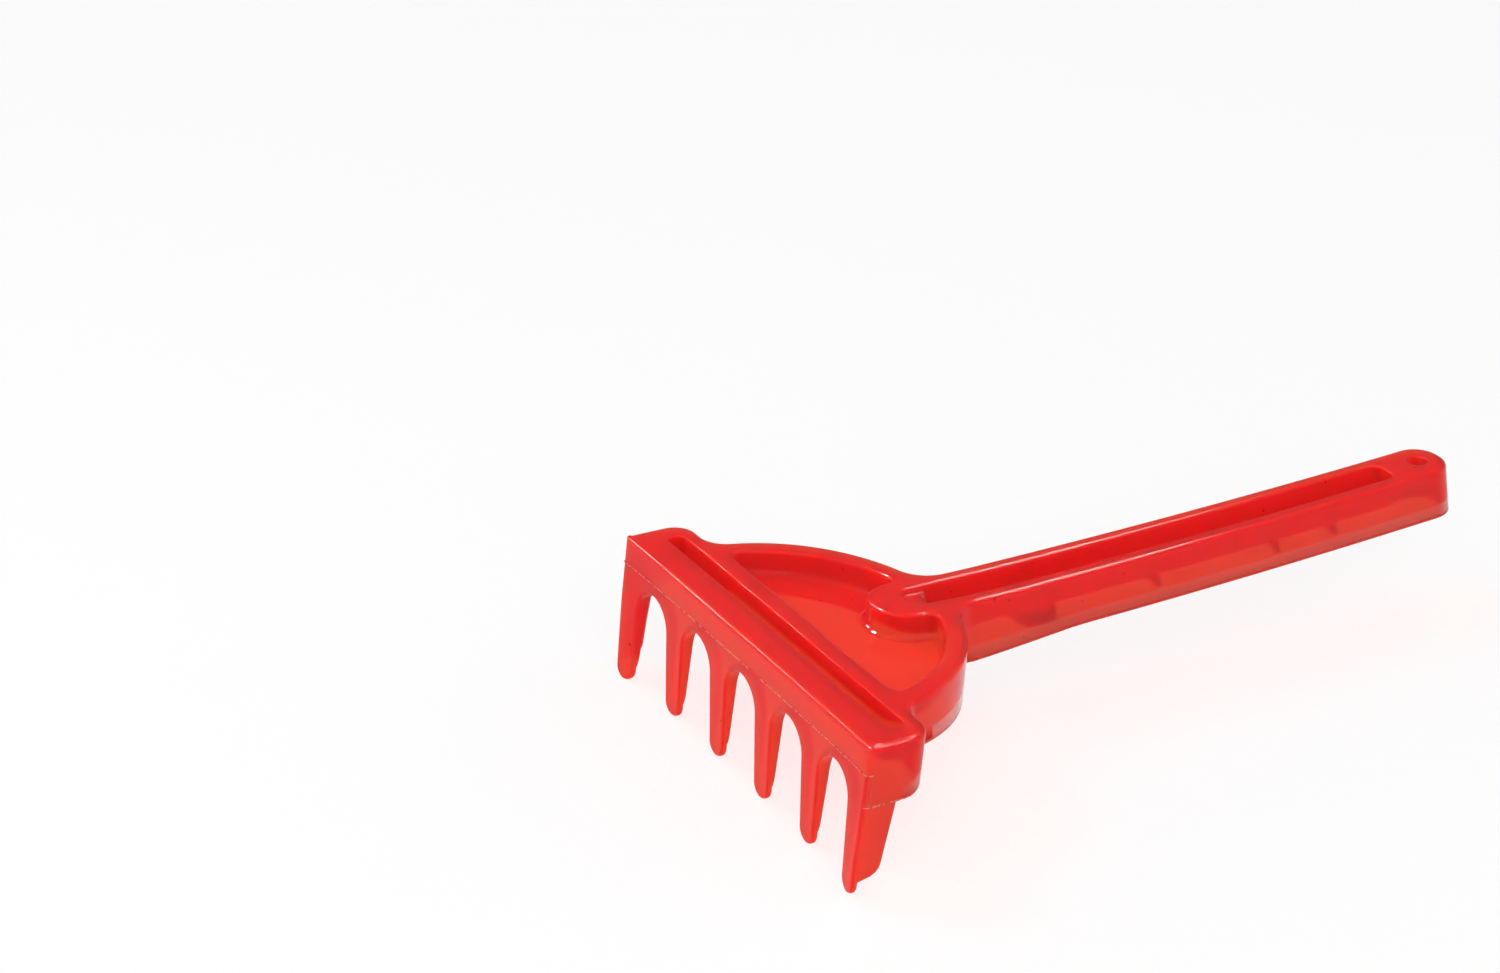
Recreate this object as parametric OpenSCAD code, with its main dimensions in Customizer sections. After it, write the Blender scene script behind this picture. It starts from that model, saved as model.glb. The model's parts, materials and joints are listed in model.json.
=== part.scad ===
// Sand rake: one moulded shell, open underneath, divided along its walls, floors, ribs and tines.
// X runs along the head bar, Y from the tines to the tail, Z up; the tine tips stand on Z = 0.

/* [Head bar] */
// Length of the head bar, end to end
bar_w = 119; // [80:1:180]
// Depth of the bar's ends, front to back
bar_d = 16.8; // [12:0.1:26]
// Radius of the bar's two back corners
bar_corner_r = 6; // [2:0.5:7.5]
// Drop of the bar's end walls below the top face
end_h = 15.1; // [11:0.1:20]
// Radius of the lower back corner of the end walls
end_round_r = 3; // [1:0.5:5]
// Depth of the fine parting line on the front wall, below the top face
seam_h = 7.1; // [4:0.1:9]
// Distance from each end of the bar to the long groove in its top
groove_end = 6.2; // [4.5:0.1:30]
// Width of that groove
groove_w = 4.7; // [3:0.1:6]
// Distance from the bar's back edge to the middle of that groove
groove_back = 6.4; // [4.5:0.1:8]

/* [Fan tray] */
// Length of bar that stands out past the fan's arc on each side
shoulder_w = 13; // [10.5:0.5:20]
// Distance from the front face to the centre of the fan's arc
fan_y = 8; // [5:0.5:11]
// Width of the fan's raised rim
rim_w = 5.3; // [3.5:0.1:8]
// Distance from the bar's back edge to the tray's front edge
tray_gap = 1.3; // [1:0.1:4]
// Radius of the tray's two front corners
tray_corner_r = 3; // [1:0.1:5]
// Radius of the notch between a bar end and the fan
notch_r = 6.5; // [3:0.5:8]
// Drop of the fan's skirt beside the bar
skirt_bar_h = 13.5; // [9:0.1:15]
// Drop of the skirt at the neck, its deepest place
skirt_neck_h = 16.8; // [14:0.1:22]

/* [Handle] */
// Length of the whole rake, front face to tail
length = 210; // [160:1:280]
// Width of the handle
handle_w = 15.4; // [14:0.1:20]
// Height of the handle's side walls
handle_h = 14.5; // [11:0.1:20]
// Length of the flare under the neck
flare_l = 30; // [15:1:50]
// Radius of the tail's corners
tail_r = 7; // [2:0.5:7.5]
// Radius of the fillets between the fan and the handle
neck_r = 9; // [3:0.5:12]
// Width by which the tongue that runs into the tray stands out past the handle on each side
tongue_lip = 1.3; // [0.5:0.1:3]
// Distance from the tray's back edge forward to the centre of the tongue's round end
tongue_in = 4.2; // [2:0.1:8]
// Radius of the tray's corners beside the tongue
tongue_corner_r = 2.5; // [1:0.1:4]
// Distance from the tip of the tongue to the handle's trough
trough_in = 9.2; // [5:0.1:20]
// Distance from the tail to the other end of the trough
trough_tail = 18; // [14:0.5:40]
// Width of the deck on each side of the trough
trough_side = 3.6; // [2.8:0.1:4.5]
// Corner radius of the handle's trough
trough_corner_r = 3; // [1:0.1:4]
// Length of the shallow step at the trough's neck end
step_l = 6; // [3:0.1:10]
// Depth of that step below the top face
step_d = 1.6; // [1.3:0.1:2.5]
// Diameter of the hang hole
hole_d = 5.2; // [3:0.1:6]
// Distance from the tail to the hang hole's centre
hole_tail = 7.4; // [6:0.1:10]
// Wall of the tube round the hang hole
eye_wall = 1.4; // [0.8:0.1:2]
// Depth of that tube below the top face
eye_h = 3.6; // [2.5:0.1:8]

/* [Tines] */
// Drop of the tine tips below the top face
drop = 38; // [28:0.1:55]
// Number of tines
tine_n = 6; // [6:1:6]
// Width of a tine at its root
tine_w = 8.1; // [5:0.1:11]
// Narrowing of a tine on each side, from its root to its round tip
tip_in = 0.75; // [0.2:0.05:1.5]
// Depth from the top face to the tops of the arches between the tines
arch_h = 10.3; // [9:0.1:14]
// Depth of an end tine's outer side at its root, front to back
tine_d = 7.2; // [5:0.1:10]
// Loss of that depth from the root to the tip
tip_back = 3; // [1:0.1:3]
// Height of a tine's side ribs at the arches, behind the front plate
side_d = 2.3; // [1:0.1:3]
// Height of the side ribs at their foot, behind the front plate
side_foot = 0.6; // [0.2:0.1:0.8]
// Height of the sides' lower edge above the tip
side_lift = 3.2; // [1:0.1:6]
// Rise of the outer sides' lower edge towards the back
side_rise = 2.6; // [0.5:0.1:5]

/* [Shell and ribs] */
// Thickness of the shell
wall = 1.3; // [0.8:0.1:1.8]
// Depth of the tray, the groove and the trough below the top face
recess_h = 6.4; // [4:0.1:8]
// Place of the stepped block under the trough, as a share of the trough's length
block_share = 0.195; // [0.12:0.005:0.25]
// Length of the stepped block
block_l = 11; // [6:0.5:16]
// Height of the stepped block's tall step
block_h = 4.4; // [2:0.1:6]
// Height of the stepped block's low step
block_low_h = 2.6; // [1:0.1:4]
// Length of the stepped block's low step
block_low_l = 3; // [1:0.1:5]
// Place of the first gusset, as a share of the trough's length
rib_1_share = 0.459; // [0.4:0.005:0.55]
// Place of the second gusset, as a share of the trough's length
rib_2_share = 0.71; // [0.6:0.005:0.75]
// Place of the third gusset, as a share of the trough's length
rib_3_share = 0.835; // [0.8:0.005:0.9]
// Length of a gusset along the handle
rib_l = 3.4; // [1.5:0.1:6]
// Height of a gusset
rib_h = 3.4; // [1.5:0.1:6]

/* [Hidden] */
$fn = 96;
// overrun of every cut past the face it cuts
over = wall / 4;
// how far the round of a concave fillet bites past its tangent points, so that it crosses them cleanly
bite = wall / 50;
shell_color = [0.89, 0.16, 0.15];
// groove, fan, neck and corner centres that follow from the sizes above
groove_l = bar_w - 2 * groove_end;
groove_y = bar_d - groove_back;
fan_r = bar_w / 2 - shoulder_w;
tray_front = bar_d + tray_gap;
notch_y = bar_d + notch_r;
notch_x = sqrt(pow(fan_r + notch_r, 2) - pow(notch_y - fan_y, 2));
neck_x = handle_w / 2 + neck_r;
neck_y = fan_y + sqrt(pow(fan_r + neck_r, 2) - pow(neck_x, 2));
tray_r = fan_r - rim_w;
flare_y = neck_y + flare_l;
tongue_r = handle_w / 2 + tongue_lip;
tongue_y = fan_y + tray_r - tongue_in;
tray_corner_y = tray_front + tray_corner_r;
tray_corner_x = sqrt(pow(tray_r - tray_corner_r, 2) - pow(tray_corner_y - fan_y, 2));
tongue_corner_x = tongue_r + tongue_corner_r;
tongue_corner_y = fan_y + sqrt(pow(tray_r - tongue_corner_r, 2) - pow(tongue_corner_x, 2));
trough_y = tongue_y - tongue_r + trough_in;
trough_end = length - trough_tail;
trough_l = trough_end - trough_y;
step_y = trough_y + step_l;
trough_w = handle_w - 2 * trough_side;
block_y = trough_y + block_share * trough_l;
rib_1_y = trough_y + rib_1_share * trough_l;
rib_2_y = trough_y + rib_2_share * trough_l;
rib_3_y = trough_y + rib_3_share * trough_l;
tail_y = length - tail_r;
hole_y = length - hole_tail;
floor_h = recess_h + wall;
handle_in = handle_w - 2 * wall;
// tine spacing, with the end tines flush with the bar's ends
pitch = (bar_w - tine_w) / (tine_n - 1);
arch_r = (pitch - tine_w) / 2;
spring_h = arch_h + arch_r;
tip_w = tine_w - 2 * tip_in;
tip_r = tip_w / 2;
tip_d = tine_d - tip_back;
side_h = drop - side_lift;

// Puts the sketch frame, with its origin on the top face at the front, into the part's frame.
module place() {
    color(shell_color) translate([0, -length / 2, drop]) children();
}

// Raises a plan into a slab between two depths below the top face.
module slab(h0, h1) {
    translate([0, 0, -h1]) linear_extrude(h1 - h0) children();
}

// Raises a front view (X, Z) into a slab between two distances behind the front face.
module upright(y0, y1) {
    translate([0, y1, 0]) rotate([90, 0, 0]) linear_extrude(y1 - y0) children();
}

// Raises a side view (Y, Z) into a slab between two places along the bar.
module sideways(x0, x1) {
    translate([x0, 0, 0]) rotate([90, 0, 90]) linear_extrude(x1 - x0) children();
}

// A strip of the plan between two distances behind the front face, on both sides or on one.
module band(y0, y1, s = 0) {
    x0 = s > 0 ? 0 : -bar_w;
    x1 = s < 0 ? 0 : bar_w;
    translate([x0, y0]) square([x1 - x0, y1 - y0]);
}

// Plan of the bar, inset by i, with round back corners.
module bar_plan(i) {
    half = bar_w / 2 - i;
    r = bar_corner_r - i;
    translate([-half, i]) square([2 * half, bar_d - bar_corner_r - i]);
    translate([r - half, i]) square([2 * (half - r), bar_d - 2 * i]);
    for (s = [-1, 1]) translate([s * (half - r), bar_d - bar_corner_r]) circle(r);
}

// Plan of the fan behind the bar, inset by i.
module fan_plan(i) {
    intersection() {
        translate([0, fan_y]) circle(fan_r - i);
        band(bar_d / 2, length);
    }
}

// Fills the corners between the bar's ends and the fan, for their concave rounds to be cut from.
module notch_fill(i) {
    reach = (notch_r + i) / (fan_r + notch_r);
    top = notch_y - reach * (notch_y - fan_y);
    translate([-notch_x, bar_d / 2]) square([2 * notch_x, top - bar_d / 2]);
}

// Fills the corners between the fan and the handle in the same way.
module neck_fill(i) {
    reach = (neck_r + i) / (fan_r + neck_r);
    half = neck_x - reach * neck_x;
    translate([-half, tongue_y]) square([2 * half, neck_y - tongue_y]);
}

// Plan of the handle, inset by i, with a round-cornered tail.
module handle_plan(i) {
    half = handle_w / 2 - i;
    r = tail_r - i;
    translate([-half, fan_y]) square([2 * half, tail_y - fan_y]);
    translate([r - half, fan_y]) square([2 * (half - r), length - i - fan_y]);
    for (s = [-1, 1]) translate([s * (half - r), tail_y]) circle(r);
}

// Outline of the whole rake, inset by i.
module plan(i) {
    difference() {
        union() {
            bar_plan(i);
            fan_plan(i);
            handle_plan(i);
            notch_fill(i);
            neck_fill(i);
        }
        for (s = [-1, 1]) {
            translate([s * notch_x, notch_y]) circle(notch_r + i + bite);
            translate([s * neck_x, neck_y]) circle(neck_r + i + bite);
        }
    }
}

// The outer skirt's plan between two distances behind the front face, on one side or both.
module skirt_plan(y0, y1, s = 0) {
    intersection() {
        difference() {
            plan(0);
            plan(wall);
        }
        band(y0, y1, s);
    }
}

// Cuts one front corner of the tray round.
module tray_corner_cut(o) {
    reach = 3 * tray_corner_r;
    share = reach / (tray_r - tray_corner_r);
    out_x = tray_corner_x + share * tray_corner_x;
    out_y = tray_corner_y + share * (tray_corner_y - fan_y);
    difference() {
        polygon([[tray_corner_x, tray_corner_y], [tray_corner_x, tray_corner_y - reach],
            [tray_corner_x + reach, tray_corner_y - reach], [out_x, out_y]]);
        translate([tray_corner_x, tray_corner_y]) circle(tray_corner_r + o);
    }
}

// Cuts one of the tray's corners beside the tongue round.
module tongue_corner_cut(o) {
    reach = 3 * tongue_corner_r;
    share = reach / (tray_r - tongue_corner_r);
    out_x = tongue_corner_x + share * tongue_corner_x;
    out_y = tongue_corner_y + share * (tongue_corner_y - fan_y);
    difference() {
        polygon([[tongue_corner_x, tongue_corner_y], [tongue_corner_x - reach, tongue_corner_y],
            [tongue_corner_x - reach, tongue_corner_y + reach], [out_x, out_y]]);
        translate([tongue_corner_x, tongue_corner_y]) circle(tongue_corner_r + o);
    }
}

// Plan of the tray's opening, grown by o.
module tray_plan(o) {
    difference() {
        intersection() {
            translate([0, fan_y]) circle(tray_r + o);
            band(tray_front - o, length);
        }
        translate([0, tongue_y]) circle(tongue_r - o);
        translate([o - tongue_r, tongue_y]) square([2 * (tongue_r - o), fan_r]);
        for (s = [0, 1]) mirror([s, 0]) {
            tray_corner_cut(o);
            tongue_corner_cut(o);
        }
    }
}

// Plan of the tongue and of the handle behind it.
module tongue_plan() {
    translate([0, tongue_y]) circle(tongue_r);
    translate([-handle_w / 2, tongue_y]) square([handle_w, length - tongue_y]);
}

// Plan of the bar's groove, grown by o.
module groove_plan(o) {
    half = (groove_l - groove_w) / 2;
    r = groove_w / 2 + o;
    translate([-half, groove_y - r]) square([2 * half, 2 * r]);
    for (s = [-1, 1]) translate([s * half, groove_y]) circle(r);
}

// Plan of the handle's trough, grown by o.
module trough_plan(o) {
    r = trough_corner_r + o;
    half = trough_w / 2 - trough_corner_r;
    y0 = trough_y + trough_corner_r;
    y1 = trough_end - trough_corner_r;
    translate([-half - r, y0]) square([2 * (half + r), y1 - y0]);
    translate([-half, y0 - r]) square([2 * half, y1 - y0 + 2 * r]);
    for (x = [-half, half], y = [y0, y1]) translate([x, y]) circle(r);
}

// Side view of the room in the trough, above its floor and above the shallow step before it.
module trough_room() {
    y0 = trough_y - over;
    y1 = trough_end + over;
    polygon([[y0, 0], [y1, 0], [y1, -recess_h], [step_y, -recess_h], [step_y, -step_d], [y0, -step_d]]);
}

// Side view of the room under that step, which keeps the step as thin as the shell.
module step_room() {
    y0 = trough_y - wall - over;
    translate([y0, -floor_h - over]) square([step_y - wall - y0, recess_h - step_d + over]);
}

// Plan of the hang hole, grown by o.
module hole_plan(o) {
    translate([0, hole_y]) circle(hole_d / 2 + o);
}

// Place of a tine along the bar, counted from 0 at the left.
function tine_x(k) = (k - (tine_n - 1) / 2) * pitch;

// Front view of a tine's tapered shank, its sides brought in by i and its foot at depth h.
module shank(k, i, h) {
    share = (h - spring_h) / (drop - tip_r - spring_h);
    top = tine_w / 2 - i;
    low = tine_w / 2 + share * (tip_w - tine_w) / 2 - i;
    translate([tine_x(k), 0])
        polygon([[-top, -spring_h], [top, -spring_h], [low, -h], [-low, -h]]);
}

// Front view of a tine's root between its two arches, the arches grown by o.
module root(k, o) {
    x0 = tine_x(k) - (k == 0 ? tine_w : pitch) / 2;
    x1 = tine_x(k) + (k == tine_n - 1 ? tine_w : pitch) / 2;
    difference() {
        translate([x0, -spring_h]) square([x1 - x0, spring_h - seam_h]);
        for (s = [-1, 1]) if (abs(tine_x(k) + s * pitch) < bar_w / 2)
            translate([tine_x(k) + s * pitch / 2, -spring_h]) circle(arch_r + o);
    }
}

// Front view of a tine's front plate.
module tine_plate(k) {
    root(k, 0);
    shank(k, 0, drop - tip_r);
    translate([tine_x(k), tip_r - drop]) circle(tip_r);
}

// Front view of a tine's side ribs and of the soffits of its two half arches.
module tine_sides(k) {
    difference() {
        union() {
            root(k, 0);
            shank(k, 0, side_h);
        }
        root(k, wall);
        difference() {
            shank(k, wall, side_h + over);
            root(k, 0);
        }
    }
}

// Front view of the short piece of outer side between an end wall and an end tine's shank.
module outer_side(k) {
    s = k == 0 ? -1 : 1;
    x0 = s < 0 ? tine_x(k) - tine_w / 2 : tine_x(k) + tine_w / 2 - wall;
    if (k == 0 || k == tine_n - 1) translate([x0, -spring_h]) square([wall, spring_h - end_h]);
}

// Front view of the outer half of an end tine.
module outer_half(k) {
    translate([tine_x(k) - (k == 0 ? tine_w : 0), -drop]) square([tine_w, drop]);
}

// Side view that gives the side ribs and soffits their depth: full at the arches, low at the foot.
module rib_profile() {
    polygon([[wall, -seam_h], [wall + side_d, -seam_h], [wall + side_d, -end_h], [wall + side_foot, -side_h],
        [wall, -side_h]]);
}

// Side view that gives an outer side its depth: deep at the root, shallow and rising at the foot.
module outer_profile() {
    polygon([[wall, -seam_h], [tine_d, -seam_h], [tine_d, -end_h], [tip_d, side_rise - side_h], [wall, -side_h]]);
}

// One tine: its front plate, the side ribs with the soffits of the arches, and an end tine's deep outer side.
module tine(k) {
    at_end = k == 0 || k == tine_n - 1;
    upright(0, wall) tine_plate(k);
    intersection() {
        upright(wall, wall + side_d) difference() {
            tine_sides(k);
            if (at_end) outer_half(k);
        }
        sideways(-bar_w, bar_w) rib_profile();
    }
    if (at_end) intersection() {
        upright(wall, tine_d) intersection() {
            union() {
                tine_sides(k);
                outer_side(k);
            }
            outer_half(k);
        }
        sideways(-bar_w, bar_w) outer_profile();
    }
}

// Side view of an end wall, with its lower back corner round.
module end_profile() {
    translate([wall, -end_h]) square([bar_d - end_round_r - wall, end_h - wall]);
    translate([bar_d - end_round_r, end_round_r - end_h]) circle(end_round_r);
    translate([wall, -skirt_bar_h]) square([tray_front - wall, skirt_bar_h - wall]);
}

// One end wall of the bar, with the bar's back corner and the notch beside the fan.
module end_wall(s) {
    intersection() {
        slab(wall, end_h) skirt_plan(wall, tray_front, s);
        sideways(-bar_w, bar_w) end_profile();
    }
}

// One side of the fan's skirt, deepest at the neck.
module fan_skirt(s) {
    intersection() {
        slab(wall, skirt_neck_h) skirt_plan(tray_front, neck_y, s);
        sideways(-bar_w, bar_w)
            polygon([[tray_front, -wall], [neck_y, -wall], [neck_y, -skirt_neck_h], [tray_front, -skirt_bar_h]]);
    }
}

// One side wall of the handle, flaring deeper towards the neck.
module handle_side(s) {
    intersection() {
        slab(wall, skirt_neck_h) skirt_plan(neck_y, tail_y, s);
        sideways(-bar_w, bar_w)
            polygon([[neck_y, -wall], [tail_y, -wall], [tail_y, -handle_h], [flare_y, -handle_h],
                [neck_y, -skirt_neck_h]]);
    }
}

// One half of the fan's raised rim.
module fan_rim(s) {
    slab(0, wall) difference() {
        intersection() {
            plan(0);
            band(tray_front, length, s);
        }
        tray_plan(0);
        tongue_plan();
    }
}

// A triangular gusset under the trough, from one side wall to the other.
module gusset(y) {
    sideways(-handle_in / 2, handle_in / 2)
        polygon([[y, -floor_h], [y + rib_l, -floor_h], [y + rib_l, -floor_h - rib_h]]);
}

module bar_deck() {
    place() slab(0, wall) difference() {
        intersection() {
            plan(0);
            band(0, tray_front);
        }
        groove_plan(0);
    }
}

module bar_groove() {
    place() difference() {
        slab(wall, floor_h) groove_plan(wall);
        slab(0, recess_h) groove_plan(0);
    }
}

module front_wall() {
    place() slab(wall, seam_h) translate([-bar_w / 2, 0]) square([bar_w, wall]);
}

module end_wall_left() {
    place() end_wall(-1);
}

module end_wall_right() {
    place() end_wall(1);
}

module tine_1() {
    place() mirror([1, 0, 0]) tine(tine_n - 1);
}

module tine_2() {
    place() tine(1);
}

module tine_3() {
    place() tine(2);
}

module tine_4() {
    place() tine(3);
}

module tine_5() {
    place() tine(4);
}

module tine_6() {
    place() tine(5);
}

module fan_rim_left() {
    place() fan_rim(-1);
}

module fan_rim_right() {
    place() fan_rim(1);
}

module tray_wall() {
    place() slab(wall, floor_h) difference() {
        tray_plan(wall);
        tray_plan(0);
    }
}

module tray_floor() {
    place() slab(recess_h, floor_h) tray_plan(0);
}

module fan_skirt_left() {
    place() fan_skirt(-1);
}

module fan_skirt_right() {
    place() fan_skirt(1);
}

module handle_deck() {
    place() slab(0, wall) difference() {
        intersection() {
            plan(0);
            tongue_plan();
        }
        trough_plan(0);
        hole_plan(0);
    }
}

module handle_trough() {
    place() difference() {
        slab(wall, floor_h) trough_plan(wall);
        intersection() {
            slab(0, floor_h) trough_plan(0);
            sideways(-handle_w, handle_w) trough_room();
        }
        sideways(-handle_w, handle_w) step_room();
    }
}

module handle_side_left() {
    place() handle_side(-1);
}

module handle_side_right() {
    place() handle_side(1);
}

module tail_wall() {
    place() slab(wall, handle_h) skirt_plan(tail_y, length);
}

module hang_eye() {
    place() slab(wall, eye_h) difference() {
        hole_plan(eye_wall);
        hole_plan(0);
    }
}

module neck_block() {
    place() sideways(-handle_in / 2, handle_in / 2) {
        translate([block_y, -floor_h - block_low_h]) square([block_l, block_low_h]);
        translate([block_y + block_low_l, -floor_h - block_h]) square([block_l - block_low_l, block_h]);
    }
}

module gusset_1() {
    place() gusset(rib_1_y);
}

module gusset_2() {
    place() gusset(rib_2_y);
}

module gusset_3() {
    place() gusset(rib_3_y);
}

bar_deck();
bar_groove();
front_wall();
end_wall_left();
end_wall_right();
tine_1();
tine_2();
tine_3();
tine_4();
tine_5();
tine_6();
fan_rim_left();
fan_rim_right();
tray_wall();
tray_floor();
fan_skirt_left();
fan_skirt_right();
handle_deck();
handle_trough();
handle_side_left();
handle_side_right();
tail_wall();
hang_eye();
neck_block();
gusset_1();
gusset_2();
gusset_3();
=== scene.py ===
# %% [markdown]
# A child's sand rake in translucent red plastic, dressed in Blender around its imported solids. The real
# rake comes out of one mould, so its looks depend on a smooth, unbroken skin with small rounds on every
# edge. Bevelling the solids would leave a seam wherever two of them meet, so new skins are swept along
# the same outlines instead.

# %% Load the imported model
import json
import math

import bmesh
import bpy
import numpy as np
from mathutils import Matrix, Vector
from mathutils.geometry import delaunay_2d_cdt


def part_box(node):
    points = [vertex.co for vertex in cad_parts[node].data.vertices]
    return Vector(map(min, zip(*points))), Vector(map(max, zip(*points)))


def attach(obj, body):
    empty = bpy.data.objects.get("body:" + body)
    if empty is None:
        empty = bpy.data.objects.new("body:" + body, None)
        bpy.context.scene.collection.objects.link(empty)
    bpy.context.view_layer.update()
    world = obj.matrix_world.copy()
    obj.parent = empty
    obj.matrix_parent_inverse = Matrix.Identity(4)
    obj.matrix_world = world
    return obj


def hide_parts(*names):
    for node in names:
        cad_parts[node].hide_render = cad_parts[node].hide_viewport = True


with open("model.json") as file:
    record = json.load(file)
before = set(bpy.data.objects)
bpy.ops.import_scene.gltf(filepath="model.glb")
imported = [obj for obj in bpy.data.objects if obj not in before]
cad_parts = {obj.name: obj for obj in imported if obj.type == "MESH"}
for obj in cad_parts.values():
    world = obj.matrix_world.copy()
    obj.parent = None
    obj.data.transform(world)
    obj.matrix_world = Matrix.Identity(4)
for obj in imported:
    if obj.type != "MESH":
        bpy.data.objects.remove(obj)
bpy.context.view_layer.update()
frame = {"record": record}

# %% [markdown]
# Sketches are in millimetres, with X along the head bar, Y back from the front face and a depth H below
# the flat top face, which is how one would measure the rake with a caliper. All sizes could be typed in,
# but then they might drift away from the solids. What the solids can tell is therefore read from their
# boxes.

# %% Main sizes, read from the solids
LOW, HIGH = 0, 1  # the two corners of a box
MM = 1000  # millimetres in a metre


def millimetres(metres):
    """Metres as millimetres, to the nearest thousandth."""
    return round(MM * metres, 3)


def half_width(node):
    """Half the width of a solid that is its own mirror image."""
    return millimetres(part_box(node)[HIGH][0])


def from_front(node, side):
    """How far behind the front face a solid begins (LOW) or ends (HIGH)."""
    return millimetres(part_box(node)[side][1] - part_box("front_wall")[LOW][1])


def below_top(node, side):
    """How far below the top face a solid's bottom (LOW) or top (HIGH) lies."""
    return millimetres(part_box("bar_deck")[HIGH][2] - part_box(node)[side][2])


LENGTH = from_front("handle_deck", HIGH)
BAR_HALF = half_width("bar_deck")  # half the length of the head bar
DROP = below_top("tine_1", LOW)  # from the top face to the tips of the tines
WALL = below_top("bar_deck", LOW)  # thickness of the plastic
SEAM_H = below_top("front_wall", LOW)  # mould line on the front
END_H = below_top("end_wall_left", LOW)  # mould line on the two ends of the bar
RECESS_H = below_top("tray_floor", HIGH)  # depth of the recesses
FLOOR_H = below_top("tray_floor", LOW)  # underside of their floors
TRAY_FRONT = from_front("tray_floor", LOW)  # front edge of the tray
HANDLE_HALF = half_width("tail_wall")  # half the handle's width
print("%.1f long, %.1f wide, %.1f tall, walls %.1f mm" % (LENGTH, 2 * BAR_HALF, DROP, WALL))

# %% [markdown]
# Seen from above, every edge of the rake is a run of straight lines and arcs that meet smoothly. A
# Blender curve with a bevel could draw it, but its rounds would have one radius all along. Here each
# point of the run carries its outward normal. Moving all points along their normals gives a parallel
# outline with as many points, and rings that match point for point can be joined by plain quads.

# %% Outlines with normals
TOUCH = 1e-4  # points nearer than this are one point


class Outline:
    """A closed run of points with outward normals, drawn counter-clockwise."""

    def __init__(self):
        self.spots = []

    def line(self, start, end, step=4.0):
        """A straight run with points about a step of millimetres apart."""
        run = np.subtract(end, start)
        size = math.hypot(*run)
        normal = (run[1] / size, -run[0] / size)
        for t in np.linspace(0, 1, max(2, int(size / step) + 1)):
            self.spots.append((*(np.array(start) + t * run), *normal))
        return self

    def arc(self, centre, radius, start, end, step=9.0, hollow=False):
        """A round run between two angles with points about a step of degrees apart."""
        side = -1 if hollow else 1
        for a in np.radians(np.linspace(start, end, max(3, int(abs(end - start) / step) + 1))):
            d = np.array([math.cos(a), math.sin(a)])
            self.spots.append((*(np.array(centre) + radius * d), *(side * d)))
        return self

    def mirrored(self):
        """Closes a right half that starts and ends on the middle line."""
        half = self.spots[:1]
        half += [b for a, b in zip(self.spots, self.spots[1:]) if math.dist(a[:2], b[:2]) > TOUCH]
        left = [(-x, y, -nx, ny) for x, y, nx, ny in half[::-1]]
        spots = np.array(half + left[1:-1])
        self.points, self.normals = spots[:, :2], spots[:, 2:]
        return self


print("points on a quarter arc:", len(Outline().arc((0, 0), 1.0, 0, 90).spots))

# %% [markdown]
# The outer edge is a straight head bar with rounded ends, a round fan behind it and a handle that leaves
# the fan through two hollow curves. It could be traced point by point, but two arcs that meet smoothly
# touch on the line between their centres, so those places are worked out. Only the right half is drawn
# and the left is its mirror image.

# %% Outer edge of the rake
BAR_D = 16.8  # depth of the head bar
BAR_CORNER = 6.0  # radius of its back corners
BAR_EDGE = 1.4  # radius of its front corners
FLANGE_D = 8.5  # how far back the end tines reach at the ends of the bar
FAN_R, FAN_Y = 46.5, 8.0  # the fan's circle and its centre
NOTCH_R, NECK_R = 6.5, 9.0  # hollow curves between bar and fan, and between fan and handle
TAIL_R = LENGTH - from_front("tail_wall", LOW)
SLIVER = 0.02  # a thin row of faces where two depths meet
NOTCH_Y = BAR_D + NOTCH_R
NOTCH_X = math.sqrt((FAN_R + NOTCH_R) ** 2 - (NOTCH_Y - FAN_Y) ** 2)
NECK_X = HANDLE_HALF + NECK_R
NECK_Y = FAN_Y + math.sqrt((FAN_R + NECK_R) ** 2 - NECK_X ** 2)


def angle_of(x, y):
    return math.degrees(math.atan2(y, x)) % 360


notch_angle, neck_angle = angle_of(NOTCH_X, NOTCH_Y - FAN_Y), angle_of(NECK_X, NECK_Y - FAN_Y)
outer = Outline().line((0, 0), (BAR_HALF - BAR_EDGE, 0))
outer.arc((BAR_HALF - BAR_EDGE, BAR_EDGE), BAR_EDGE, -90, 0, step=15)
outer.line((BAR_HALF, BAR_EDGE + SLIVER), (BAR_HALF, FLANGE_D), step=2.0)
outer.line((BAR_HALF, FLANGE_D), (BAR_HALF, BAR_D - BAR_CORNER), step=1.0)
outer.arc((BAR_HALF - BAR_CORNER, BAR_D - BAR_CORNER), BAR_CORNER, 0, 90, step=7.5)
outer.arc((NOTCH_X, NOTCH_Y), NOTCH_R, 270, notch_angle + 180, step=7.5, hollow=True)
outer.arc((0, FAN_Y), FAN_R, notch_angle, neck_angle, step=2.0)
outer.arc((NECK_X, NECK_Y), NECK_R, neck_angle + 180, 180, step=6.0, hollow=True)
outer.line((HANDLE_HALF, NECK_Y), (HANDLE_HALF, LENGTH - TAIL_R))
outer.arc((HANDLE_HALF - TAIL_R, LENGTH - TAIL_R), TAIL_R, 0, 90, step=7.5)
outer.line((HANDLE_HALF - TAIL_R, LENGTH), (0, LENGTH), step=1.0).mirrored()
print("outer outline:", len(outer.points), "points, neck at %.2f" % NECK_Y)

# %% [markdown]
# A long groove and a tray are sunk into the head. They could be cut with Boolean modifiers, but those
# leave long thin faces that shade badly on glossy plastic. So each gets an outline of its own, as smooth
# as the outer one. The rounded tongue at the end of the handle reaches into the tray, so the tray's back
# edge goes round it.

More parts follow.
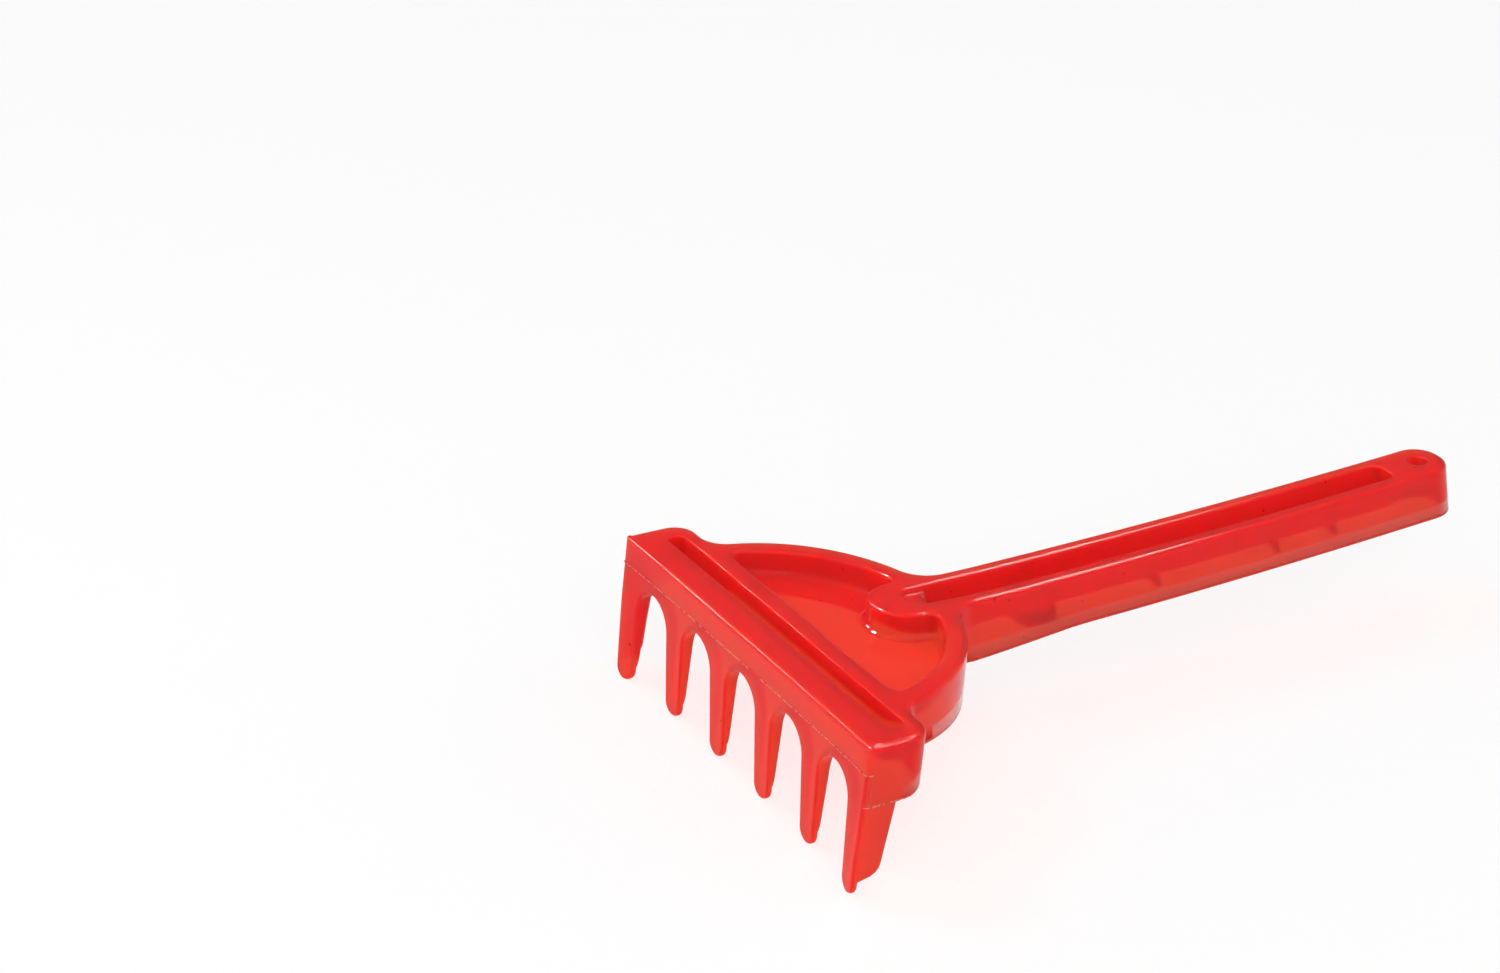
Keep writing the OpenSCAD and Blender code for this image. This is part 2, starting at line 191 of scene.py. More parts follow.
# %% Outlines of the groove and the tray
GROOVE_HALF, GROOVE_R, GROOVE_Y = 50.95, 2.35, 10.4  # half its run, half its width, its middle line
TRAY_R, TRAY_CORNER = 41.2, 3.0  # the tray's circle and its front corners
TONGUE_R, TONGUE_Y = 9.0, 45.0  # the tongue's round end and its centre
TONGUE_CORNER = 2.5  # corners beside the tongue
TONGUE_TURN = -1  # the tongue's round starts a degree past its straight side

groove = Outline().line((0, GROOVE_Y - GROOVE_R), (GROOVE_HALF, GROOVE_Y - GROOVE_R))
groove.arc((GROOVE_HALF, GROOVE_Y), GROOVE_R, -90, 90)
groove.line((GROOVE_HALF, GROOVE_Y + GROOVE_R), (0, GROOVE_Y + GROOVE_R)).mirrored()

front_y = TRAY_FRONT + TRAY_CORNER
front_x = math.sqrt((TRAY_R - TRAY_CORNER) ** 2 - (front_y - FAN_Y) ** 2)
back_x = TONGUE_R + TONGUE_CORNER
back_y = FAN_Y + math.sqrt((TRAY_R - TONGUE_CORNER) ** 2 - back_x ** 2)
front_angle, back_angle = angle_of(front_x, front_y - FAN_Y), angle_of(back_x, back_y - FAN_Y)
tray = Outline().line((0, TRAY_FRONT), (front_x, TRAY_FRONT))
tray.arc((front_x, front_y), TRAY_CORNER, -90, front_angle)
tray.arc((0, FAN_Y), TRAY_R, front_angle, back_angle, step=2.5)
tray.arc((back_x, back_y), TONGUE_CORNER, back_angle, 180)
tray.arc((0, TONGUE_Y), TONGUE_R, TONGUE_TURN, -90, step=6.0, hollow=True).mirrored()
print("groove and tray outlines:", len(groove.points), len(tray.points), "points")

# %% [markdown]
# A trough runs along the handle, with a shallow step at its neck end, and a hole to hang the rake by goes
# through the tail. A plain rounded slot would do for the trough's outline, but the step's steep edge
# needs closer points, so its straight side is drawn in two runs. The hole's size and place are those of
# the mount in the record.

# %% Outlines of the trough and the hang hole
TROUGH_Y = from_front("handle_trough", LOW) + WALL
TROUGH_END = from_front("handle_trough", HIGH) - WALL
TROUGH_HALF = half_width("handle_trough") - WALL
TROUGH_CORNER = 3.0
STEP_L, STEP_BOW = 6.0, 2.0  # length of the step at the middle, and how much longer it is at the sides
STEP_ROOM = 1.5  # close points go on for this long behind the step
hang_hole = next(m for m in frame["record"]["mounts"] if m["name"] == "hang_hole")
HOLE_R, EYE_H = hang_hole["dims"]["r_mm"], hang_hole["dims"]["length_mm"]
HOLE_Y = millimetres(hang_hole["pos_m"][1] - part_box("front_wall")[LOW][1])

bend = TROUGH_HALF - TROUGH_CORNER
step_end = TROUGH_Y + STEP_L + STEP_BOW + STEP_ROOM
trough = Outline().line((0, TROUGH_Y), (bend, TROUGH_Y), step=1.0)
trough.arc((bend, TROUGH_Y + TROUGH_CORNER), TROUGH_CORNER, -90, 0)
trough.line((TROUGH_HALF, TROUGH_Y + TROUGH_CORNER), (TROUGH_HALF, step_end), step=0.3)
trough.line((TROUGH_HALF, step_end), (TROUGH_HALF, TROUGH_END - TROUGH_CORNER))
trough.arc((bend, TROUGH_END - TROUGH_CORNER), TROUGH_CORNER, 0, 90)
trough.line((bend, TROUGH_END), (0, TROUGH_END), step=1.0).mirrored()

hole = Outline().arc((0, HOLE_Y), HOLE_R, -90, 90).mirrored()
print("trough and hole outlines:", len(trough.points), len(hole.points), "points")

# %% [markdown]
# A skin is a set of rings, each an outline moved by an offset and set at a height, with quads between
# neighbours. Flat faces with holes in them, such as the top of the rake, could each be one face with many
# corners, but such a face creases when it is bent. They are filled with triangles that have inner points
# too.

# %% Points inside an outline
def inside(points, loops):
    """Even-odd test of points against closed loops."""
    odd = np.zeros(len(points), bool)
    x, y = points[:, 0], points[:, 1]
    for loop in loops:
        for (ax, ay), (bx, by) in zip(loop, np.roll(loop, -1, axis=0)):
            if ay != by:
                odd ^= ((ay > y) != (by > y)) & (x < (bx - ax) * (y - ay) / (by - ay) + ax)
    return odd


def inner_points(loops, spacing):
    """A grid of points between the loops, clear of their rims."""
    rim = np.concatenate(loops)
    low, high = rim.min(0), rim.max(0)
    axes = [np.arange(low[k] + spacing / 2, high[k], spacing) for k in (0, 1)]
    grid = np.stack(np.meshgrid(*axes), -1).reshape(-1, 2)
    grid = grid[inside(grid, loops)]
    clear = [np.hypot(*(rim - p).T).min() > spacing / 2 for p in grid]
    return grid[np.array(clear, bool)]


print("grid points in the tray's outline:", len(inner_points([tray.points], 4.0)))

# %% Skins made of rings
WHOLE_HULL, SNAP = 0, 1e-6  # kind of triangulation, and how near points count as one in it


class Skin:
    """Rings of vertices and the faces between them; place turns a sketch point and a height into X, Y, Z."""

    def __init__(self, place):
        self.mesh, self.place, self.flat = bmesh.new(), place, {}

    def vertex(self, u, v, w):
        vertex = self.mesh.verts.new(self.place(u, v, w))
        self.flat[vertex] = (u, v)
        return vertex

    def ring(self, points, heights):
        heights = np.broadcast_to(heights, len(points))
        return [self.vertex(u, v, w) for (u, v), w in zip(points, heights)]

    def sweep(self, rings):
        """Joins rings by quads and returns the first and the last."""
        for a, b in zip(rings, rings[1:]):
            for i in range(len(a)):
                self.mesh.faces.new((a[i - 1], a[i], b[i], b[i - 1]))
        return rings[0], rings[-1]

    def fill(self, rings, height, spacing=4.0):
        """Fills the area between rings; height is a number or a function of the sketch point."""
        loops = [np.array([self.flat[v] for v in ring]) for ring in rings]
        edges, start = [], 0
        for loop in loops:
            edges += [(start + i, start + (i + 1) % len(loop)) for i in range(len(loop))]
            start += len(loop)
        spots = [Vector(p) for p in np.concatenate([*loops, inner_points(loops, spacing)])]
        found, _, faces, origin, _, _ = delaunay_2d_cdt(spots, edges, [], WHOLE_HULL, SNAP)
        known = [v for ring in rings for v in ring]
        tall = height if callable(height) else lambda u, v: height
        corners = []
        for p, source in zip(found, origin):
            first = min(source) if source else len(known)
            corners.append(known[first] if first < len(known) else self.vertex(p.x, p.y, tall(p.x, p.y)))
        middles = np.array([np.mean([found[i] for i in f], axis=0) for f in faces])
        for f, good in zip(faces, inside(middles, loops)):
            if good and len({corners[i] for i in f}) == 3:
                self.mesh.faces.new([corners[i] for i in f])


def quarter(steps=5):
    """Sines and one-minus-cosines of a quarter turn, for rounds and fillets."""
    turn = np.linspace(0, math.pi / 2, steps)
    return list(zip(np.sin(turn), 1 - np.cos(turn)))


print("a round has", len(quarter()), "rings")

# %% [markdown]
# The moulding isn't dead straight. It has bowed like a shallow banana, lowest at the neck, so its walls
# lean forward at the tines and backward at the tail. The row of tips is a little hollow, and the handle
# narrows slightly to its tail. A lattice or a Simple Deform modifier could bend it, but a formula is the
# same for every skin, so skins that touch stay together.

# %% The small bend that all skins share
LEAN_FRONT, LEAN_TAIL = 0.110, -0.110  # slope of the walls at either end
HOLLOW_TOP, HOLLOW_TIP = 0.24, 3.5  # how hollow the bar's front is, and the row of tips
HOLLOW_START, HOLLOW_END = 6.0, 30.0  # the hollow fades out between these
SAG, SAG_Y, SAG_REACH = 2.0, 72.0, 40.0  # how low the neck lies, where, and how far that reaches forward
TAIL_LIFT = 0.000175  # curve of the handle behind the neck
NECK_WIDE, TAIL_WIDE = 1.09, 0.975  # width of the handle, as a share of its solid
WIDEN_START, TAPER_START, TAPER_END = 48.0, 62.0, 190.0  # it widens, starts to narrow, and has narrowed
TAIL_START, TAIL_IN, TAIL_SLOPE = 195.0, 0.6, 0.10  # the tail's end wall is drawn in and slopes


def share_of(v, start, end):
    """Goes evenly from 0 at start to 1 at end."""
    return min(1.0, max(0.0, (v - start) / (end - start)))


def ramp(v, start, end):
    """Goes smoothly from 0 at start to 1 at end."""
    t = share_of(v, start, end)
    return t * t * (3 - 2 * t)


def bent(p):
    """A sketch point, in millimetres, as a point of the part, in metres."""
    x, y, h = p[0], p[1], -p[2]
    hollow = HOLLOW_TOP + (HOLLOW_TIP - HOLLOW_TOP) * h / DROP
    hollow *= (1 - (x / BAR_HALF) ** 4) * (1 - ramp(y, HOLLOW_START, HOLLOW_END))
    lean = LEAN_FRONT + (LEAN_TAIL - LEAN_FRONT) * y / LENGTH
    away = y - SAG_Y
    sag = SAG * math.exp(-(away / SAG_REACH) ** 2) if away < 0 else SAG - TAIL_LIFT * away ** 2
    wide = 1 + ramp(y, WIDEN_START, TAPER_START) * (NECK_WIDE - 1)
    wide += (TAIL_WIDE - NECK_WIDE) * max(0.0, y - TAPER_START) / (TAPER_END - TAPER_START)
    tail = ramp(y, TAIL_START, LENGTH) * (TAIL_SLOPE * h - TAIL_IN)
    return Vector((x * wide, y + hollow + tail - lean * h - LENGTH / 2, DROP - h - sag)) / MM


print("neck after the bend:", bent((0, NECK_Y, 0)))

# %% [markdown]
# The shell and the tines are one plastic, and all that parts them on the real rake is the fine line left
# by the mould. They are swept in different directions, so here they are two skins. Closed ones would put
# a double wall inside the see-through plastic, and it would show as a dark band. So both are opened where
# they meet.

# %% The joint between the shell and the tines
NEAR, EXACT = 0.06, 0.01  # a face lies on the joint within these
CORNER_RISE = 0.1  # the open strip at the bar's corners starts this far above the mould line


def open_joint(mesh):
    """Takes away the faces of a skin that lie on the joint."""
    def joined(face):
        spots = [(abs(v.co.x), v.co.y, -v.co.z) for v in face.verts]
        at_side = all(x > BAR_HALF - WALL - NEAR for x, y, h in spots)
        on_front = all(abs(h - SEAM_H) < NEAR and y < BAR_EDGE + EXACT for x, y, h in spots)
        on_corner = all(abs(y - BAR_EDGE) < SLIVER + EXACT for x, y, h in spots)
        on_corner &= all(SEAM_H - CORNER_RISE < h < END_H + NEAR for x, y, h in spots)
        on_end = all(abs(h - END_H) < NEAR for x, y, h in spots)
        on_end &= all(BAR_EDGE - EXACT < y < FLANGE_D + EXACT for x, y, h in spots)
        return on_front or at_side and (on_corner or on_end)

    doomed = [f for f in mesh.faces if joined(f)]
    bmesh.ops.delete(mesh, geom=doomed, context="FACES")
    print("joint opened:", len(doomed), "faces")


print("joint %.1f mm below the top in front, %.1f mm at the ends" % (SEAM_H, END_H))

# %% [markdown]
# A finished skin is merged, bent and shaded smooth, and the solids it stands for are hidden. Shading
# could be kept sharp at some edges by angle, but every edge of the rake is rounded by real faces, so
# smooth shading all over is right.

# %% Finishing a skin as a piece
def piece_from(name, mesh, *nodes):
    """Turns a sketch mesh into a bent, smooth piece and hides the nodes that it stands for."""
    bmesh.ops.remove_doubles(mesh, verts=mesh.verts, dist=TOUCH)
    bmesh.ops.dissolve_degenerate(mesh, edges=mesh.edges, dist=TOUCH)
    for vertex in mesh.verts:
        vertex.co = bent(vertex.co)
    bmesh.ops.recalc_face_normals(mesh, faces=mesh.faces)
    open_edges = sum(len(e.link_faces) != 2 for e in mesh.edges)
    data = bpy.data.meshes.new(name)
    mesh.to_mesh(data)
    mesh.free()
    data.polygons.foreach_set("use_smooth", [True] * len(data.polygons))
    piece = bpy.data.objects.new(name, data)
    bpy.context.scene.collection.objects.link(piece)
    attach(piece, "root")
    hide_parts(*nodes)
    print(name, len(data.vertices), "vertices,", open_edges, "open edges")
    return piece


# %% [markdown]
# The shell is the whole rake above its tines: a flat top with recesses and a skirt all round. The skirt
# is shallow at the front, where the tines carry on, curls up a little behind the bar's ends and is
# deepest at the neck. Cutting a plain skirt to that shape would leave ragged faces, so its depth is
# worked out for each point of the outline.

# %% Depth of the skirt round the outline
HANDLE_H = below_top("tail_wall", LOW)
SKIRT_NECK_H = below_top("fan_skirt_left", LOW)
FLARE_L = 30.0  # length over which the handle's sides become shallower
CURL_Y, CURL_RISE = 9.0, 2.2  # where the lower edge starts to curl up behind the bar's ends, and how far


def skirt_depth(x, y):
    """How far the skirt hangs below the top face."""
    if y < BAR_EDGE + SLIVER / 2:
        return SEAM_H
    if abs(x) > NOTCH_X:
        return END_H - CURL_RISE * share_of(y, CURL_Y, BAR_D) ** 3
    if y < NECK_Y:
        fan_h = END_H - CURL_RISE
        return fan_h + (SKIRT_NECK_H - fan_h) * share_of(y, TRAY_FRONT, NECK_Y)
    return SKIRT_NECK_H + (HANDLE_H - SKIRT_NECK_H) * share_of(y, NECK_Y, NECK_Y + FLARE_L)


depth = np.array([skirt_depth(x, y) for x, y in outer.points])
at_end = np.abs(outer.points[:, 0]) > BAR_HALF - EXACT
seam = (depth == SEAM_H) | (at_end & (outer.points[:, 1] < FLANGE_D + EXACT))
print("skirt %.1f to %.1f mm deep, %d points on the mould line" % (depth.min(), depth.max(), seam.sum()))

# %% [markdown]
# One skin runs from the top face over the rounded edge, down the outside, round the thin lower rim and up
# the inside to the underside of the top. A Solidify modifier could thicken a single sheet, but its rim
# would be square. Rings give the rim its round, and the mould line a fine raised bead, which on the real
# rake is a trace of flash.

# %% The skirt, inside and out
EDGE_FRONT, EDGE_BAR, EDGE_HANDLE = 0.45, 1.5, 1.2  # top edge's radius: front, bar's ends, handle
CORNER_SPAN, FAN_SPAN = (0.2, 1.6), (16, 40)  # the radius changes between these
EDGE_BAND, UNDER_BAND = 0.5, 0.1  # flat strips that keep the shading of the flat faces clean
RIM_R, SEAM_R, UNDER_R = 0.45, 0.05, 0.3  # radius of the lower rim, the mould line, inside corners
BEAD = 0.16  # how far the flash stands out
BEAD_ROWS = ((0, 0.46), (1, 0.28), (1, 0.12), (0, 0.03))  # share of that, and how far above the rim
WALL_IN = 0.4  # the plain wall starts this far below the top edge, and stops at twice this above the rim
THIRDS = (0, 0.33, 0.67, 1)

shell = Skin(lambda u, v, w: (u, v, -w))
edge_r = EDGE_FRONT + np.array([(EDGE_BAR - EDGE_FRONT) * ramp(y, *CORNER_SPAN)
                                - (EDGE_BAR - EDGE_HANDLE) * ramp(y, *FAN_SPAN) for x, y in outer.points])
rim_r, bead = np.where(seam, SEAM_R, RIM_R), np.where(seam, BEAD, 0.0)


def outer_ring(offset, height):
    """A ring of the skirt, kept square at the bar's front corners where the offset passes their radius."""
    offset = np.broadcast_to(offset, len(outer.points))
    points = outer.points + outer.normals * offset[:, None]
    front = outer.points[:, 1] < 2 * BAR_EDGE
    points[front, 0] = np.clip(points[front, 0], -BAR_HALF - offset[front], BAR_HALF + offset[front])
    points[front, 1] = np.maximum(points[front, 1], -offset[front])
    return shell.ring(points, height)


wall_top, wall_foot = edge_r + WALL_IN, depth - 2 * WALL_IN
inner_top, inner_foot = WALL + UNDER_R, depth - rim_r
rings = [outer_ring(-edge_r - EDGE_BAND, 0)]
rings += [outer_ring(edge_r * (s - 1), edge_r * c) for s, c in quarter(7)]
rings += [outer_ring(0, wall_top + t * (wall_foot - wall_top)) for t in THIRDS]
rings += [outer_ring(bead * share, depth - rim_r - gap) for share, gap in BEAD_ROWS]
rings += [outer_ring(-rim_r * c, depth - rim_r * (1 - s)) for s, c in quarter()]
rings += [outer_ring(-WALL + rim_r * (1 - s), depth - rim_r * c) for s, c in quarter()]
rings += [outer_ring(-WALL, inner_top + t * (inner_foot - inner_top)) for t in THIRDS[2::-1]]
rings += [outer_ring(-WALL - UNDER_R * c, WALL + UNDER_R * (1 - s)) for s, c in quarter(3)[1:]]
rings += [outer_ring(-WALL - UNDER_R - UNDER_BAND, WALL)]
top_rim, under_rim = shell.sweep(rings)
print("skirt rings:", len(rings))

# %% [markdown]
# A recess is a cup hung in a hole of the top: a round lip, a wall with a little draft, a fillet and a
# floor. Its other face, seen from below, keeps the wall's thickness. An inset and an extrusion could make
# a cup by hand, but rings keep each round at its real radius. The trough's depth changes at its step, so
# a floor is a function of the place.

# %% Floors of the recesses
STEP_D = 1.6  # depth of the trough on its step
STEP_EASE = 0.45  # half the length of the steep edge behind it


def flat_floor(u, v):
    return RECESS_H


def trough_floor(u, v):
    """Shallow on the step, then steeply down over a bowed edge."""
    edge = TROUGH_Y + STEP_L + STEP_BOW * (abs(u) / TROUGH_HALF) ** 4
    return STEP_D + (RECESS_H - STEP_D) * ramp(v, edge - STEP_EASE, edge + STEP_EASE)


print("trough from %.1f to %.1f mm deep" % (trough_floor(0, TROUGH_Y), trough_floor(0, TROUGH_END)))

# %% Cups of the tray, the groove and the trough
DRAFT = 0.15  # how far a wall leans in
LARGEST_ROUND_SHARE = 0.45  # a round takes no more than this share of the depth
LIP_BAND, FLOOR_BAND, BASE_BAND = 0.4, 0.2, 0.3  # flat strips beside the lip, the fillet, the base
BASE_R = 0.5  # radius round the base, seen from below
WALL_ROWS = (0.15, 0.5, 0.85, 1)


def cup(outline, floor, lip_r, fillet_r, spacing=3.0):
    """Adds a recess and its underside, and returns the two rings that it hangs from."""
    def ring(offset, height):
        offset = np.broadcast_to(offset, len(outline.points))
        return shell.ring(outline.points + outline.normals * offset[:, None], height)

    def under_floor(u, v):
        return floor(u, v + WALL) + WALL

    low = np.array([floor(u, v) for u, v in outline.points])
    base_h = np.array([under_floor(u, v) for u, v in outline.points])
    lip, fillet = [np.minimum(r, LARGEST_ROUND_SHARE * low) for r in (lip_r, fillet_r)]
    top_side = [ring(lip + LIP_BAND, 0)]
    top_side += [ring(lip * (1 - s), lip * c) for s, c in quarter(6)]
    top_side += [ring(-DRAFT * t, lip + t * (low - fillet - lip)) for t in WALL_ROWS]
    top_side += [ring(-DRAFT - fillet * c, low - fillet * (1 - s)) for s, c in quarter(5)[1:]]
    top_side += [ring(-DRAFT - fillet - FLOOR_BAND, low)]
    hung, base = shell.sweep(top_side)
    shell.fill([base], floor, spacing)
    underside = [ring(WALL + UNDER_R + UNDER_BAND, WALL)]
    underside += [ring(WALL + UNDER_R * (1 - s), WALL + UNDER_R * c) for s, c in quarter(3)]
    underside += [ring(WALL, inner_top + t * (base_h - BASE_R - inner_top)) for t in (0.5, 1)]
    underside += [ring(WALL - BASE_R * c, base_h - BASE_R * (1 - s)) for s, c in quarter(4)[1:]]
    underside += [ring(WALL - BASE_R - BASE_BAND, base_h)]
    under, foot = shell.sweep(underside)
    shell.fill([foot], under_floor, spacing)
    return hung, under


cups = [cup(tray, flat_floor, lip_r=0.9, fillet_r=1.8),
        cup(groove, flat_floor, lip_r=0.25, fillet_r=1.4),
        cup(trough, trough_floor, lip_r=0.9, fillet_r=1.4, spacing=0.5)]
print("cups:", len(cups))

# %% [markdown]
# The hang hole is a short tube under the top with a round lip. A torus and a cylinder could be joined for
# it, but rings around the hole's outline fit the top without any cutting. With the tube in place, the top
# and its underside are filled between all their rims, and the shell is whole.

# %% The hang hole, and the shell as a piece
EYE_WALL = half_width("hang_eye") - HOLE_R
HOLE_LIP, HOLE_BAND, EYE_R = 0.5, 0.3, 0.4  # radius of the lip, flat strip round it, radius of the foot


def hole_ring(offset, height):
    return shell.ring(hole.points + hole.normals * offset, height)


rings = [hole_ring(HOLE_LIP + HOLE_BAND, 0)]
rings += [hole_ring(HOLE_LIP * (1 - s), HOLE_LIP * c) for s, c in quarter()]
rings += [hole_ring(0, EYE_H - EYE_R)]
rings += [hole_ring(EYE_R * c, EYE_H - EYE_R * (1 - s)) for s, c in quarter(4)[1:]]
rings += [hole_ring(EYE_WALL - EYE_R * (1 - s), EYE_H - EYE_R * c) for s, c in quarter(4)]
rings += [hole_ring(EYE_WALL, inner_top)]
rings += [hole_ring(EYE_WALL + UNDER_R * c, WALL + UNDER_R * (1 - s)) for s, c in quarter(3)[1:]]
rings += [hole_ring(EYE_WALL + UNDER_R + UNDER_BAND, WALL)]
eye_top, eye_under = shell.sweep(rings)

shell.fill([top_rim, eye_top] + [hung for hung, under in cups], 0)
shell.fill([under_rim, eye_under] + [under for hung, under in cups], WALL)
open_joint(shell.mesh)
moulded_shell = piece_from(
    "moulded_shell", shell.mesh, "bar_deck", "bar_groove", "front_wall", "end_wall_left", "end_wall_right",
    "fan_rim_left", "fan_rim_right", "tray_wall", "tray_floor", "fan_skirt_left", "fan_skirt_right",
    "handle_deck", "handle_trough", "handle_side_left", "handle_side_right", "tail_wall", "hang_eye")

# %% [markdown]
# Below the fine mould line on the front, the rake is a comb: six plates with round tips and round arches
# between them. One tine could be modelled and copied by an Array modifier, but the two end tines differ
# and the arches join them all, so the whole front is drawn as one outline, from the middle to the right
# and then mirrored.

# %% Front outline of the comb
TINES, TINE_W = 6, 8.1
TIP_IN = 0.75  # how much narrower each side of a tine is at its tip
ARCH_H = 10.3  # top of the arches
SPLIT = 0.001  # keeps the two normals of a sharp corner apart
PITCH = (2 * BAR_HALF - TINE_W) / (TINES - 1)
ARCH_R = (PITCH - TINE_W) / 2
SPRING_H = ARCH_H + ARCH_R  # where the arches become the sides of the tines
TIP_R = TINE_W / 2 - TIP_IN


def tine_x(k):
    return (k - (TINES - 1) / 2) * PITCH


comb = Outline().arc((0, -SPRING_H), ARCH_R, 90, 0, step=6.0, hollow=True)
for k in range(TINES // 2, TINES):
    x, foot = tine_x(k), TIP_R - DROP
    comb.line((x - TINE_W / 2, -SPRING_H), (x - TIP_R, foot), step=0.7)
    comb.arc((x, foot), TIP_R, 180, 360, step=7.5)
    comb.line((x + TIP_R, foot), (x + TINE_W / 2, -SPRING_H), step=0.7)
    if k < TINES - 1:
        comb.arc((x + PITCH / 2, -SPRING_H), ARCH_R, 180, 0, step=6.0, hollow=True)
comb.line((BAR_HALF, -SPRING_H), (BAR_HALF, -END_H - SLIVER), step=0.7)
comb.line((BAR_HALF, -END_H), (BAR_HALF, -SEAM_H), step=2.0)
comb.line((BAR_HALF - SPLIT, -SEAM_H), (0, -SEAM_H)).mirrored()
print("comb outline:", len(comb.points), "points, pitch %.2f, arch radius %.2f" % (PITCH, ARCH_R))

# %% [markdown]
# Each plate is turned back at its sides into a shallow channel, which keeps a thin tine from bending in
# wet sand. The channel is deep at the roots, shallower towards the tips, and at the tip only the plate is
# left. A solid tine would be simpler, but in see-through plastic it would look too dark, so the depth is
# set for each point of the outline.

# %% Depth of the comb round that outline
SIDE_H, ROUND_H = 33.9, 3.4  # where the side ribs end, and the height over which they round off
RIB_ROOT, RIB_FOOT = 3.6, 2.0  # depth of a rib at the root and at the foot of a tine
FLANGE_FALL = 2.0  # how much shallower the outer sides of the end tines become
FALL_POWER = 2.6  # shape of the rounded end of a rib
PLATE_R, RIB_R = 0.75, 0.45  # radius of the front edge, and of a rib's back edge
SEAM_FRONT_R, SEAM_BACK_R = 0.05, 0.06  # the same at the mould line
INNER_R = 0.3  # radius of the channel's inside corner
SEAM_INSET = 0.25  # share of the wall by which rings move in at the mould line
UPWARD, SIDEWAYS = 0.99, 0.5  # least share of a normal that counts as such

last_x = tine_x(TINES - 1)
x_out, h_out = np.abs(comb.points[:, 0]), -comb.points[:, 1]
outward = comb.normals[:, 0] * np.sign(comb.points[:, 0])
at_seam = (comb.normals[:, 1] > UPWARD) & (h_out < SEAM_H + EXACT)
outer_side = (x_out > last_x) & (outward > SIDEWAYS)
at_wall = outer_side & (h_out < END_H + SLIVER / 2)
down = np.clip((h_out - END_H) / (SIDE_H - END_H), 0, 1)
channel = np.where(outer_side, FLANGE_D - FLANGE_FALL * down, RIB_ROOT - (RIB_ROOT - RIB_FOOT) * down)
fall = np.clip((h_out - SIDE_H + ROUND_H) / ROUND_H, 0, 1)
plate = WALL + INNER_R
back = plate + (channel - plate) * np.sqrt(np.clip(1 - fall ** FALL_POWER, 0, 1))
back[at_wall] = BAR_EDGE
back[at_seam] = WALL
front_r = PLATE_R + (BAR_EDGE - PLATE_R) * np.clip((x_out - last_x) / TIP_R, 0, 1)
front_r[at_seam] = SEAM_FRONT_R
back_r = np.where(at_wall, 0.0, np.where(at_seam, SEAM_BACK_R, RIB_R))
inset = np.where(at_seam, SEAM_INSET, 1.0)
print("side ribs from %.1f to %.1f mm deep" % (back.min(), back.max()))

# %% [markdown]
# The comb's outline is swept backwards from the front face: round the front edge, along the sides, round
# the back edge of each rib and forward again to the back of the plate. Extruding the front face would
# give square edges. These would need bevels, and a bevel tends to break where an arch meets a tine.

# %% The comb of six tines
FRONT_BAND, BACK_BAND = 0.35, 0.2  # flat strips beside the front edge and the channel's inside corner

tines = Skin(lambda u, v, w: (u, w, v))


def comb_ring(offset, height):
    """A ring of the comb, kept square at its two upper corners."""
    offset = np.broadcast_to(offset, len(comb.points))
    points = comb.points + comb.normals * offset[:, None]
    side, roof = offset[at_wall].min(), offset[at_seam].min()
    points[:, 0] = np.clip(points[:, 0], -BAR_HALF - side, BAR_HALF + side)
    points[:, 1] = np.minimum(points[:, 1], -SEAM_H + roof)
    return tines.ring(points, height)


side_end = back - back_r
inner_y = np.minimum(plate, side_end)
rings = [comb_ring(-front_r - FRONT_BAND * inset, 0)]
rings += [comb_ring(front_r * (s - 1), front_r * c) for s, c in quarter(6)]
rings += [comb_ring(0, front_r + t * (side_end - front_r)) for t in WALL_ROWS]
rings += [comb_ring(-back_r * c, back - back_r * (1 - s)) for s, c in quarter(4)[1:]]
rings += [comb_ring(-(WALL * inset - back_r * (1 - s)), back - back_r * c) for s, c in quarter(4)]
rings += [comb_ring(-WALL * inset, inner_y + t * (side_end - inner_y)) for t in (0.5, 0)]
rings += [comb_ring(-(WALL + INNER_R * c) * inset, WALL + (inner_y - WALL) * (1 - s))
          for s, c in quarter(3)[1:]]
rings += [comb_ring(-(WALL + INNER_R + BACK_BAND) * inset, WALL)]
front_rim, inner_rim = tines.sweep(rings)
tines.fill([front_rim], 0, spacing=3.0)
tines.fill([inner_rim], WALL, spacing=3.0)
open_joint(tines.mesh)
tine_comb = piece_from("tine_comb", tines.mesh, *["tine_%d" % (k + 1) for k in range(TINES)])

# %% [markdown]
# Ribs cross the hollow of the handle under the trough: a two-step block near the neck and three small
# gussets. They show through the side as darker shapes. Scaled cubes could stand in for them, but their
# side views are what shows, so each side view is drawn, swept across the handle and bevelled. Their
# places are read from their solids.

# %% The block and the gussets
RIB_GAP = 0.02  # keeps a rib's faces off those of the handle
RIB_BEVEL, BEVEL_ROWS, BEVEL_ROUND = 0.25, 2, 0.5  # size, rows of faces and roundness of the bevels
BLOCK_STEP = (3.0, 2.6)  # length and height of the block's lower step


